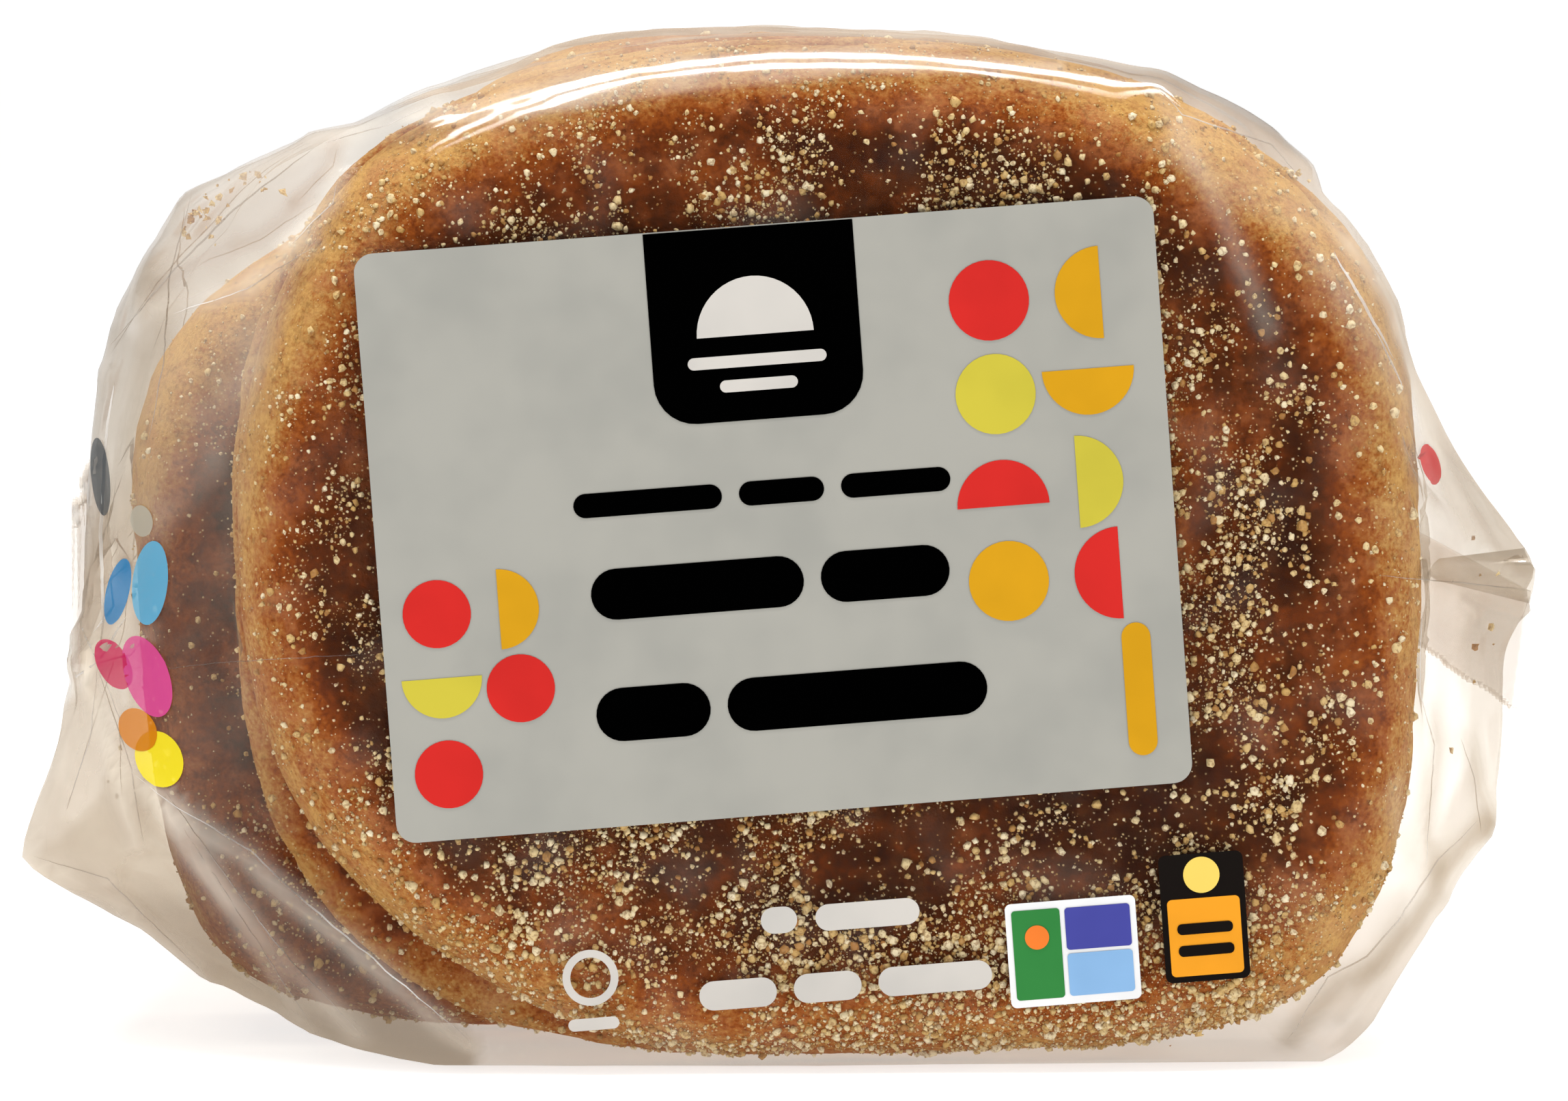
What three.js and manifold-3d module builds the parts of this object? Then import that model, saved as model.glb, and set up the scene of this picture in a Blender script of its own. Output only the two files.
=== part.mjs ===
// A sealed clear film bag that holds a row of six english muffins standing on edge.
// The muffins lie one behind another along Y, and the film is a tube along X: it is drawn tight round
// the row and closed at its left and right ends by flat seals. Millimetres, +Z up, front towards -Y.
import * as THREE from "three";
import { mergeVertices } from "three/addons/utils/BufferGeometryUtils.js";
import Module from "manifold-3d";

// The muffins, which give the bag its body
const muffinCount = 6;
const muffinThickness = 22;
const muffinHalfWidth = 48.5;
const muffinHalfHeight = 41.5;
const muffinSquareness = 2.6; // exponent of the muffin's outline: 2 is an ellipse, more is squarer
const muffinEdgeRadius = 8; // how far in from its outline a muffin's face starts to round over

// The film
const filmSlack = 1.2; // free room between the row's ends and the film
const baseDepth = 43.4; // from the front muffin's centre down to the flat base
const faceCrown = 0.7; // how far the film swells over the middle of an end muffin
const gapDip = 0.6; // how far the film sinks between two muffins, along the top
const halfDepth = (muffinCount * muffinThickness) / 2 + filmSlack;

// The end seals: flat fins, the right one folded down and the left one up against the bag.
// lean: the fin's angle from straight up; inset: how far inside the seal's outline it is rooted.
const finThickness = 1.4;
const finEndGap = 12; // how far a fin stops short of the bag's front and back
const finRoot = 1.6; // how far a fin runs into the body that it leaves
const rightFin = { seal: "right seal", width: 10.5, lean: 3.19, inset: 0.9 };
const leftFin = { seal: "left seal", width: 14, lean: -0.05, inset: 0.9 };

// Where the film turns, clockwise from the top as seen from the front, from the front muffin's centre.
// x, z: the outline at the front; rearX, rearZ: at the back; drop: how far behind the front face the
// outline lies; slack: 0 where the film rounds over a muffin's edge, 1 where it runs straight to the
// outline; tuck: how far the film is pushed in between the edge and the seal.
const turns = [
  { name: "top middle", x: 0, z: 42.3, rearX: -3, rearZ: 41.3, drop: 7, slack: 0, tuck: 0 },
  { name: "top right", x: 16, z: 41.2, rearX: 13, rearZ: 40.2, drop: 7, slack: 0, tuck: 0 },
  { name: "right rise", x: 28.5, z: 38.7, rearX: 25, rearZ: 37.6, drop: 7.5, slack: 0.1, tuck: 0 },
  { name: "right shoulder", x: 36.6, z: 34.4, rearX: 34, rearZ: 33.5, drop: 8, slack: 0.3, tuck: 0 },
  { name: "right slope", x: 42.8, z: 25.5, rearX: 41.5, rearZ: 25, drop: 9, slack: 0.5, tuck: 1 },
  { name: "right low slope", x: 51.6, z: 8.4, rearX: 51, rearZ: 8.4, drop: 10, slack: 0.6, tuck: 5 },
  { name: "right over seal", x: 58.4, z: -0.2, rearX: 58, rearZ: -0.2, drop: 11, slack: 0.7, tuck: 9 },
  { name: "right seal", x: 60.3, z: -3.4, rearX: 60, rearZ: -3.4, drop: 11, slack: 0.7, tuck: 10 },
  { name: "right under seal", x: 57, z: -9, rearX: 56.6, rearZ: -9, drop: 11, slack: 0.7, tuck: 8 },
  { name: "right low panel", x: 56.8, z: -16, rearX: 55.2, rearZ: -16, drop: 11, slack: 0.7, tuck: 6 },
  { name: "right swell", x: 55.3, z: -24.6, rearX: 52.5, rearZ: -24, drop: 10, slack: 0.6, tuck: 3 },
  { name: "right under slope", x: 50.4, z: -32, rearX: 48.5, rearZ: -31, drop: 9, slack: 0.5, tuck: 1 },
  { name: "right heel", x: 45.6, z: -39.6, rearX: 44, rearZ: -38.5, drop: 8, slack: 0.3, tuck: 0 },
  { name: "base right", x: 41.5, z: -43.4, rearX: 39, rearZ: -43.4, drop: 7, slack: 0.1, tuck: 0 },
  { name: "base middle", x: 4, z: -43.4, rearX: 2, rearZ: -43.4, drop: 7, slack: 0, tuck: 0 },
  { name: "base left", x: -32, z: -43.4, rearX: -34, rearZ: -43.4, drop: 9, slack: 0.1, tuck: 0 },
  { name: "left heel", x: -44.5, z: -40.4, rearX: -45, rearZ: -39, drop: 14, slack: 0.5, tuck: 0 },
  { name: "left under slope", x: -56.8, z: -33, rearX: -54.5, rearZ: -30, drop: 21, slack: 0.7, tuck: 0 },
  { name: "flap tip", x: -66.2, z: -27, rearX: -60.5, rearZ: -20, drop: 24, slack: 0.8, tuck: 2 },
  { name: "left under seal", x: -63.4, z: -17, rearX: -62, rearZ: -15, drop: 24, slack: 0.8, tuck: 5 },
  { name: "left seal", x: -63, z: -11.5, rearX: -63, rearZ: -11, drop: 23, slack: 0.8, tuck: 7 },
  { name: "left over seal", x: -60.6, z: -5, rearX: -60.4, rearZ: -5, drop: 24, slack: 0.8, tuck: 4 },
  { name: "left swell", x: -60.8, z: 3.5, rearX: -59, rearZ: 3, drop: 24, slack: 0.8, tuck: 2 },
  { name: "left slope", x: -59.2, z: 15, rearX: -55, rearZ: 14, drop: 23, slack: 0.7, tuck: 0 },
  { name: "left shoulder", x: -52.6, z: 28, rearX: -47, rearZ: 27, drop: 19, slack: 0.6, tuck: 0 },
  { name: "left rise", x: -42.2, z: 32.8, rearX: -40, rearZ: 31.6, drop: 13, slack: 0.4, tuck: 0 },
  { name: "top left", x: -31.8, z: 37.2, rearX: -31, rearZ: 36, drop: 9, slack: 0.2, tuck: 0 },
  { name: "top left middle", x: -16, z: 41.2, rearX: -17, rearZ: 40.2, drop: 7.5, slack: 0, tuck: 0 },
];
const rearDrop = 0.75; // the back's drop and tuck, as a share of the front's, kept under rearDropMost
const rearDropMost = 13;

// How finely the surface is divided
const stepsPerTurn = 4;
const faceRings = 3;
const edgeRings = 9;
const sideRings = 3 * muffinCount;
const edgeRingPower = 1.5; // over 1 puts more rings near the outline, where the film bends most
const slackHollow = 1.4; // over 1 hollows the film a little where it runs straight to the outline
const mergeDistance = 1e-4; // vertices closer than this are one

const mix = (a, b, t) => a + (b - a) * t;
const ease = (t) => t * t * (3 - 2 * t);

// The values between two turns. Places follow a smooth closed curve, and the rest changes evenly.
function spaced(points) {
  const curve = new THREE.CatmullRomCurve3(points, true, "centripetal");
  const count = points.length * stepsPerTurn;
  return Array.from({ length: count }, (_, i) => curve.getPoint(i / count));
}

function outlineStations() {
  const front = spaced(turns.map((turn) => new THREE.Vector3(turn.x, 0, turn.z)));
  const rear = spaced(turns.map((turn) => new THREE.Vector3(turn.rearX, 0, turn.rearZ)));
  return front.map((point, i) => {
    const here = turns[Math.floor(i / stepsPerTurn)];
    const next = turns[(Math.floor(i / stepsPerTurn) + 1) % turns.length];
    const t = (i % stepsPerTurn) / stepsPerTurn;
    return {
      frontX: point.x,
      frontZ: Math.max(point.z, -baseDepth),
      rearX: rear[i].x,
      rearZ: Math.max(rear[i].z, -baseDepth),
      drop: mix(here.drop, next.drop, t),
      slack: mix(here.slack, next.slack, t),
      tuck: mix(here.tuck, next.tuck, t),
    };
  });
}

// How far out from its centre a muffin's flat face reaches, towards (x, z)
function faceReach(x, z) {
  const length = Math.hypot(x, z);
  const across = Math.abs(x / length) / (muffinHalfWidth - muffinEdgeRadius);
  const up = Math.abs(z / length) / (muffinHalfHeight - muffinEdgeRadius);
  return Math.pow(Math.pow(across, muffinSquareness) + Math.pow(up, muffinSquareness), -1 / muffinSquareness);
}

// A place on the front or the back of the bag: how far it is from the middle as a share of the way to
// the outline, and how far it lies behind the bag's end. The first rings cover the muffin's face.
function filmPlace(ring, x, z, drop, slack, tuck) {
  const flat = faceReach(x, z) / Math.hypot(x, z);
  if (ring <= faceRings) {
    const out = ring / faceRings;
    return { share: flat * out, depth: -faceCrown * (1 - out ** 2) };
  }
  const t = 1 - (1 - (ring - faceRings) / edgeRings) ** edgeRingPower;
  const rounded = 1 - Math.sqrt(1 - t * t);
  const straight = t ** slackHollow;
  return {
    share: mix(flat, 1, t),
    depth: drop * mix(rounded, straight, slack) + tuck * Math.sin(Math.PI * t),
  };
}

// One ring of points for each step from the front's middle, over its edge, along the sides, to the back's
function bagRings(stations) {
  const rings = [];
  for (let ring = 1; ring <= faceRings + edgeRings; ring++) {
    rings.push(
      stations.map((s) => {
        const place = filmPlace(ring, s.frontX, s.frontZ, s.drop, s.slack, s.tuck);
        return [place.share * s.frontX, place.depth - halfDepth, place.share * s.frontZ];
      }),
    );
  }
  for (let k = 1; k < sideRings; k++) {
    const t = k / sideRings;
    const muffinPhase = Math.cos(2 * Math.PI * muffinCount * t);
    rings.push(
      stations.map((s) => {
        const frontY = s.drop - halfDepth;
        const rearY = halfDepth - Math.min(s.drop * rearDrop, rearDropMost);
        const z = mix(s.frontZ, s.rearZ, ease(t));
        const overTop = Math.max(0, z / muffinHalfHeight);
        return [
          mix(s.frontX, s.rearX, ease(t)),
          mix(frontY, rearY, t),
          z - (gapDip / 2) * (1 + muffinPhase) * overTop ** 2,
        ];
      }),
    );
  }
  for (let ring = faceRings + edgeRings; ring > 0; ring--) {
    rings.push(
      stations.map((s) => {
        const drop = Math.min(s.drop * rearDrop, rearDropMost);
        const place = filmPlace(ring, s.rearX, s.rearZ, drop, s.slack, s.tuck * rearDrop);
        return [place.share * s.rearX, halfDepth - place.depth, place.share * s.rearZ];
      }),
    );
  }
  return rings;
}

// A closed mesh from rings, with one point in the middle of each end
function closedFromRings(rings, firstPole, lastPole) {
  const count = rings[0].length;
  const positions = [firstPole, ...rings.flat(), lastPole];
  const at = (ring, i) => 1 + ring * count + (i % count);
  const last = positions.length - 1;
  const index = [];
  for (let i = 0; i < count; i++) {
    index.push(0, at(0, i + 1), at(0, i));
    for (let ring = 0; ring + 1 < rings.length; ring++) {
      index.push(at(ring, i), at(ring + 1, i + 1), at(ring + 1, i));
      index.push(at(ring, i), at(ring, i + 1), at(ring + 1, i + 1));
    }
    index.push(at(rings.length - 1, i), at(rings.length - 1, i + 1), last);
  }
  const geometry = new THREE.BufferGeometry();
  geometry.setAttribute("position", new THREE.Float32BufferAttribute(positions.flat(), 3));
  geometry.setIndex(index);
  return geometry;
}

// A flat seal folded over: a plate along Y whose section leaves the seal's edge at an angle from straight up
function finGeometry({ seal, width, lean, inset }) {
  const edge = turns.find((turn) => turn.name === seal);
  const root = new THREE.Vector2(edge.rearX - Math.sign(edge.rearX) * inset, edge.rearZ);
  const along = new THREE.Vector2(Math.sin(lean), Math.cos(lean));
  const across = new THREE.Vector2(-along.y, along.x).multiplyScalar(finThickness / 2);
  const start = root.clone().addScaledVector(along, -finRoot);
  const end = root.clone().addScaledVector(along, width);
  const corners = [
    start.clone().add(across),
    start.clone().sub(across),
    end.clone().sub(across),
    end.clone().add(across),
  ];
  const length = 2 * (halfDepth - finEndGap);
  const fin = new THREE.ExtrudeGeometry(new THREE.Shape(corners), { depth: length, bevelEnabled: false });
  fin.rotateX(Math.PI / 2);
  fin.translate(0, length / 2, 0);
  return fin;
}

const wasm = await Module();
wasm.setup();

function toSolid(geometry) {
  const bare = new THREE.BufferGeometry();
  bare.setAttribute("position", geometry.getAttribute("position"));
  if (geometry.index) bare.setIndex(geometry.index);
  const merged = mergeVertices(bare, mergeDistance);
  const solid = new wasm.Manifold(
    new wasm.Mesh({
      numProp: 3,
      vertProperties: new Float32Array(merged.getAttribute("position").array),
      triVerts: new Uint32Array(merged.index.array),
    }),
  );
  if (solid.volume() < 0) throw new Error("a surface faces inwards");
  return solid;
}

function toGeometry(solid) {
  const mesh = solid.getMesh();
  const geometry = new THREE.BufferGeometry();
  geometry.setAttribute("position", new THREE.Float32BufferAttribute(mesh.vertProperties, 3));
  geometry.setIndex(new THREE.Uint32BufferAttribute(mesh.triVerts, 1));
  return geometry;
}

// The bag is one piece of film, so its body and its two fins are joined
const stations = outlineStations();
const body = toSolid(
  closedFromRings(bagRings(stations), [0, -halfDepth - faceCrown, 0], [0, halfDepth + faceCrown, 0]),
);
const bag = toGeometry(body.add(toSolid(finGeometry(rightFin))).add(toSolid(finGeometry(leftFin))));

// The origin is under the middle of the bag's box, on its flat base
bag.computeBoundingBox();
const middle = bag.boundingBox.getCenter(new THREE.Vector3());
bag.translate(-middle.x, -middle.y, -bag.boundingBox.min.z);

const clearFilm = new THREE.MeshStandardMaterial({
  name: "clear_film",
  color: 0xb98a5e,
  roughness: 0.25,
  metalness: 0,
});

const group = new THREE.Group();
const mesh = new THREE.Mesh(bag, clearFilm);
mesh.name = "muffin_bag";
group.add(mesh);

export default group;
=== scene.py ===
# A sealed clear bag that holds a row of six english muffins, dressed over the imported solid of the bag.
import math
import random

import bmesh
import bpy
import numpy
from mathutils import Matrix, Vector, geometry, noise
from mathutils.bvhtree import BVHTree


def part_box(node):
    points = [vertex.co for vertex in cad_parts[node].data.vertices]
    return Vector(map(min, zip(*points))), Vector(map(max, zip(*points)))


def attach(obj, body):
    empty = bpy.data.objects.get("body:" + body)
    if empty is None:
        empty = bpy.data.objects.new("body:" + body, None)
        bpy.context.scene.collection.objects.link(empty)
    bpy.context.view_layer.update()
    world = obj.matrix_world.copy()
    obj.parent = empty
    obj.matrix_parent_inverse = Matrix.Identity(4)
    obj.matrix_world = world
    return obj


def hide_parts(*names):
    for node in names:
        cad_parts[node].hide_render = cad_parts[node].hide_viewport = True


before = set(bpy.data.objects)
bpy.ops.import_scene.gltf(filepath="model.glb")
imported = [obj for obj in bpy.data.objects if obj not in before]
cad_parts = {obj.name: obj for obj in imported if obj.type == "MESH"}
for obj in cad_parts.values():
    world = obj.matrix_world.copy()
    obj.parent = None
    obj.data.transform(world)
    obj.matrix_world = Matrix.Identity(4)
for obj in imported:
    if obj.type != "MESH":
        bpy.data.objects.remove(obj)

mm = 0.001
scene = bpy.context.scene
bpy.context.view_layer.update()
bagLow, bagHigh = (Vector(corner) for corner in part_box("muffin_bag"))
bagDepth = bagHigh.y - bagLow.y

# The row of muffins, each list from the front muffin to the back one. Shifts are in millimetres
row = dict(
    count=6,
    middle=Vector((2.92 * mm, 0, 43.4 * mm)),
    endRoom=1.9 * mm,
    shiftX=(0.5, -8.0, -2.6, -4.6, -1.6, -3.4),
    shiftZ=(-0.6, -0.4, -0.5, -0.2, -0.8, -0.7),
    sizes=(1.018, 1.02, 0.985, 1.0, 0.98, 1.01),
    leanDeg=(0, -1.2, -3.0, 1.5, -2.0, 1.0),
    paleFrom=(0.80, 0.91, 0.86, 0.84, 0.88, 0.82),  # the share of the way out where a face turns pale
    toast=(0.83, 0.63, 0.78, 0.74, 0.7, 0.84),
    paleUpperLeft=(0.2, 0.5, 0.2, 0, 0.2, 0.1),
)
middleX, middleZ = row["middle"].x, row["middle"].z
faceY = bagLow.y + row["endRoom"]
pitch = (bagDepth - 2 * row["endRoom"]) / row["count"]

# The camera, and the pixels of a 2296 x 1612 frame that its place is worked out from
view = dict(
    width=2296,
    height=1612,
    distance=700 * mm,
    turnDeg=-3.0,
    riseDeg=4.0,
    pixel=0.0560 * mm,
    frontMiddle=(1215, 805),
    sensor=36,
)


def link(name, data, material=None):
    piece = bpy.data.objects.new(name, data)
    scene.collection.objects.link(piece)
    if material:
        data.materials.append(material)
    return piece


def report(stage, pieces):
    print(stage, "ready:", sum(len(piece.data.polygons) for piece in pieces), "faces")


def giveValues(mesh, name, values):
    layer = mesh.attributes.new(name, "FLOAT", "POINT")
    layer.data.foreach_set("value", values)


def meshFrom(name, points, faces, smooth=True, **attributes):
    mesh = bpy.data.meshes.new(name)
    mesh.from_pydata(points, [], faces)
    mesh.polygons.foreach_set("use_smooth", [smooth] * len(mesh.polygons))
    mesh.update()
    for label, values in attributes.items():
        giveValues(mesh, label, values)
    return mesh


def mix(a, b, t):
    return a + (b - a) * t


def ease(t):
    t = min(1, max(0, t))
    return t * t * (3 - 2 * t)


def turnsOf(steps):
    return [2 * math.pi * k / steps for k in range(steps)]


def srgb(red, green, blue):
    linear = [c / 3294.6 if c <= 10 else ((c / 255 + 0.055) / 1.055) ** 2.4 for c in (red, green, blue)]
    return (*linear, 1)


def cloud(spot, size, seed=0.0):
    return noise.noise(spot / size + Vector((seed * 3.17, seed * 1.31, seed * 5.23)))


# A sum, product or other operation on two wires or numbers, as one Math node
def maths(operation, swapped=False):
    def act(wire, other):
        return wire.calc(operation, *((other, wire) if swapped else (wire, other)))

    return act


# A wire is one socket of a node tree, so that sums on sockets are written as sums
class Wire:
    __add__, __radd__ = maths("ADD"), maths("ADD", True)
    __sub__, __rsub__ = maths("SUBTRACT"), maths("SUBTRACT", True)
    __mul__, __rmul__ = maths("MULTIPLY"), maths("MULTIPLY", True)
    __truediv__, __pow__ = maths("DIVIDE"), maths("POWER")

    def __init__(self, graph, socket):
        self.graph = graph
        self.socket = socket

    def calc(self, operation, *values):
        return self.graph.node("ShaderNodeMath", dict(operation=operation), values)

    def ramp(self, low, high):
        settings = dict(clamp=True, interpolation_type="SMOOTHSTEP")
        return self.graph.node("ShaderNodeMapRange", settings, {0: self, 1: low, 2: high})

    def output(self, name):
        return Wire(self.graph, self.socket.node.outputs[name])


class Graph:
    def __init__(self, tree):
        self.tree = tree

    def node(self, kind, settings=None, inputs=(), output=0):
        made = self.tree.nodes.new(kind)
        for name, value in (settings or {}).items():
            if name == "stops":
                for place, colour in value[1:-1]:
                    made.color_ramp.elements.new(place)
                for element, (place, colour) in zip(made.color_ramp.elements, value):
                    element.position, element.color = place, colour
            else:
                setattr(made, name, value)
        for key, value in inputs.items() if isinstance(inputs, dict) else enumerate(inputs):
            if isinstance(value, (Wire, list)):
                for wire in value if isinstance(value, list) else [value]:
                    self.tree.links.new(wire.socket, made.inputs[key])
            else:
                made.inputs[key].default_value = value
        return Wire(self, made.outputs[output])


# A material's nodes
class Paint(Graph):
    def __init__(self, name):
        self.material = bpy.data.materials.new(name)
        self.material.use_nodes = True
        super().__init__(self.material.node_tree)
        self.tree.nodes.clear()

    def spot(self, size):
        coordinates = self.node("ShaderNodeTexCoord", output="Object")
        return self.node("ShaderNodeMapping", None, dict(Vector=coordinates, Scale=(1 / size,) * 3))

    def noise(self, size, detail, roughness=0.55):
        inputs = dict(Vector=self.spot(size), Scale=1.0, Detail=detail, Roughness=roughness)
        return self.node("ShaderNodeTexNoise", None, inputs, "Fac")

    def blend(self, factor, a, b, kind="MIX"):
        return self.node("ShaderNodeMix", dict(data_type="RGBA", blend_type=kind), {0: factor, 6: a, 7: b}, 2)

    def stopsAt(self, place, stops):
        return self.node("ShaderNodeValToRGB", dict(stops=stops), dict(Fac=place), "Color")

    def reads(self, name, output="Fac"):
        return self.node("ShaderNodeAttribute", dict(attribute_name=name), output=output)

    def bump(self, height, strength, distance):
        inputs = dict(Height=height, Strength=strength, Distance=distance)
        return self.node("ShaderNodeBump", None, inputs, "Normal")

    def plain(self, kind, colour):
        return self.node(f"ShaderNodeBsdf{kind}", None, {"Color": colour})

    def mixed(self, factor, first, second):
        return self.node("ShaderNodeMixShader", None, {0: factor, 1: first, 2: second})

    def finish(self, shader):
        output = self.tree.nodes.new("ShaderNodeOutputMaterial")
        self.tree.links.new(shader.socket, output.inputs["Surface"])
        return self.material

    def surface(self, colour, roughness, shine, others=None):
        inputs = {"Base Color": colour, "Roughness": roughness, "Specular IOR Level": shine, **(others or {})}
        return self.finish(self.node("ShaderNodeBsdfPrincipled", None, inputs))


# A geometry tree with named inputs, and the wires of those inputs
def geometryGraph(name, sizes):
    tree = bpy.data.node_groups.new(name, "GeometryNodeTree")
    tree.interface.new_socket("Geometry", in_out="INPUT", socket_type="NodeSocketGeometry")
    for label, value in sizes.items():
        kind = "NodeSocketInt" if isinstance(value, int) else "NodeSocketFloat"
        tree.interface.new_socket(label, in_out="INPUT", socket_type=kind)
    tree.interface.new_socket("Geometry", in_out="OUTPUT", socket_type="NodeSocketGeometry")
    graph = Graph(tree)
    start = tree.nodes.new("NodeGroupInput")
    return graph, {socket.name: Wire(graph, socket) for socket in start.outputs if socket.name}


# Runs a geometry tree on a mesh and keeps what it makes as a plain mesh
def grown(name, start, graph, made, sizes, material):
    made = graph.node("GeometryNodeRealizeInstances", None, [made])
    made = graph.node("GeometryNodeSetMaterial", None, {0: made, 2: material})
    end = graph.tree.nodes.new("NodeGroupOutput")
    graph.tree.links.new(made.socket, end.inputs[0])
    piece = link(name, start)
    modifier = piece.modifiers.new("nodes", "NODES")
    modifier.node_group = graph.tree
    for item in graph.tree.interface.items_tree:
        if item.name in sizes:
            modifier[item.identifier] = sizes[item.name]
    evaluated = piece.evaluated_get(bpy.context.evaluated_depsgraph_get())
    mesh = bpy.data.meshes.new_from_object(evaluated)
    piece.modifiers.clear()
    piece.data = mesh
    return piece


print("helpers ready")

# Sizes are those of each pattern's patches, and shares say how strongly it shows
crustLook = dict(
    stops=[
        (0.0, srgb(205, 163, 98)),
        (0.18, srgb(187, 142, 83)),
        (0.34, srgb(168, 108, 53)),
        (0.5, srgb(146, 75, 25)),
        (0.66, srgb(114, 53, 16)),
        (0.82, srgb(78, 35, 8)),
        (1.0, srgb(50, 20, 5)),
    ],
    mottleSize=2.2 * mm,
    mottleShare=0.7,
    grainSize=0.42 * mm,
    cool=srgb(64, 35, 28),
    coolSize=5 * mm,
    coolShare=0.3,
    rosySheen=srgb(176, 117, 80),
    rosySheenSize=3.2 * mm,
    rosySheenShare=0.45,
    pit=srgb(120, 92, 80),
    pitSize=0.9 * mm,
    pitShadeShare=0.3,
    speckSize=0.42 * mm,
    speckShare=0.75,
    dust=srgb(222, 199, 152),
    roughness=0.75,
    bumpHeight=0.5 * mm,
)


def crustMaterial():
    paint = Paint("toasted_crust")
    look = crustLook
    mottle = paint.noise(look["mottleSize"], 4, 0.65)
    grain = paint.noise(look["grainSize"], 2.5, 0.7)
    pits = paint.noise(look["pitSize"], 3, 0.6)
    baked = paint.reads("toast")
    grainShare = 0.85 - 0.6 * baked.ramp(0.3, 0.8)
    toast = baked + look["mottleShare"] * (mottle - 0.5) + grainShare * (grain - 0.5)
    dark = toast.ramp(0.45, 0.8)
    colour = paint.stopsAt(toast, look["stops"])
    cool = paint.noise(look["coolSize"], 2, 0.5).ramp(0.5, 0.68) * dark
    colour = paint.blend(look["coolShare"] * cool, colour, look["cool"])
    # pale pink patches away from the darkest crust: partly the crust's own tone and partly a painted sheen of
    # the film lying on it
    rosySheen = paint.noise(look["rosySheenSize"], 3, 0.6).ramp(0.45, 0.7) * (1 - 0.8 * dark)
    colour = paint.blend(look["rosySheenShare"] * rosySheen, colour, look["rosySheen"])
    # painted shade: the pits, which the bump also sinks, are multiplied darker
    colour = paint.blend(look["pitShadeShare"] * pits.ramp(0.54, 0.7), colour, look["pit"], "MULTIPLY")

    # specks of meal too fine to be grits, thick where the grits are thick
    cells = paint.node("ShaderNodeTexVoronoi", None, dict(Vector=paint.spot(look["speckSize"]), Scale=1.0))
    draw = paint.node("ShaderNodeSeparateColor", None, [cells.output("Color")])
    chosen = (draw * 0.8 + 0.5 * paint.reads("meal")).ramp(0.72, 0.8)
    speck = chosen * (1 - cells.ramp(0.16, 0.3))
    colour = paint.blend(look["speckShare"] * speck, colour, look["dust"])
    normal = paint.bump(mottle + 0.35 * grain - 0.8 * pits, 0.8, look["bumpHeight"])
    return paint.surface(colour, look["roughness"], 0.05, dict(Normal=normal))


gritLook = dict(
    stops=[
        (0.0, srgb(170, 118, 54)),
        (0.2, srgb(206, 170, 102)),
        (0.5, srgb(229, 208, 156)),
        (1.0, srgb(246, 237, 208)),
    ],
    husk=srgb(140, 96, 44),
    huskShare=0.62,
    lumpSize=0.3 * mm,
    lumpHeight=0.12 * mm,
    roughness=0.5,
)


def gritMaterial():
    paint = Paint("grit")
    look = gritLook
    lumps = paint.noise(look["lumpSize"], 2, 0.6)
    colour = paint.stopsAt(paint.reads("tint"), look["stops"])
    colour = paint.blend(look["huskShare"] * lumps.ramp(0.48, 0.62), colour, look["husk"])
    normal = paint.bump(lumps, 0.6, look["lumpHeight"])
    return paint.surface(colour, look["roughness"], 0.5, dict(Normal=normal))


filmLook = dict(
    tint=(0.953, 0.934, 0.907, 1),
    dullAndShadeTint=(0.61, 0.551, 0.472, 1),
    dullShare=0.54,  # how far towards that tint a dull value of one goes
    # the milky white, which is also the colour of the painted sheen
    milkAndSheen=srgb(226, 215, 199),
    paleMilkAndGlint=(0.95, 0.94, 0.92, 1),
    roughness=0.1,
    shine=0.003,
    edgeShine=0.55,
    shinePower=4.0,
)


# How far the film is towards its darker tint, partly its own tint and partly painted shade, and how milky,
# towards white plastic and in places a painted sheen
def filmMaterial(name, dull, milky, milkAndSheen, glossy=lambda paint, edge: edge):
    paint = Paint(name)
    look = filmLook
    facing = paint.node("ShaderNodeLayerWeight", None, dict(Blend=0.5), "Facing")
    body = paint.plain("Transparent", look["tint"])
    body = paint.mixed(dull(paint, facing), body, paint.plain("Transparent", look["dullAndShadeTint"]))
    body = paint.mixed(milky(paint, facing), body, paint.plain("Diffuse", milkAndSheen))
    settings = dict(distribution="GGX")
    gloss = paint.node("ShaderNodeBsdfAnisotropic", settings, dict(Roughness=look["roughness"]))
    shine = look["shine"] + glossy(paint, look["edgeShine"] * facing ** look["shinePower"])
    return paint.finish(paint.mixed(shine, body, gloss))


def inkMaterial():
    paint = Paint("label_print")
    cloudy = paint.noise(10 * mm, 2.5, 0.6).ramp(0.35, 0.75)
    colour = paint.blend(0.22 * cloudy, paint.reads("ink", "Color"), srgb(176, 184, 190), "MULTIPLY")
    return paint.surface(colour, 0.6, 0.0)


def wornInkMaterial():
    paint = Paint("tinted_print")
    clear = paint.plain("Transparent", (0.9, 0.9, 0.9, 1))
    return paint.finish(paint.mixed(0.78, clear, paint.plain("Diffuse", paint.reads("ink", "Color"))))


crust = crustMaterial()
grit = gritMaterial()
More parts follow.
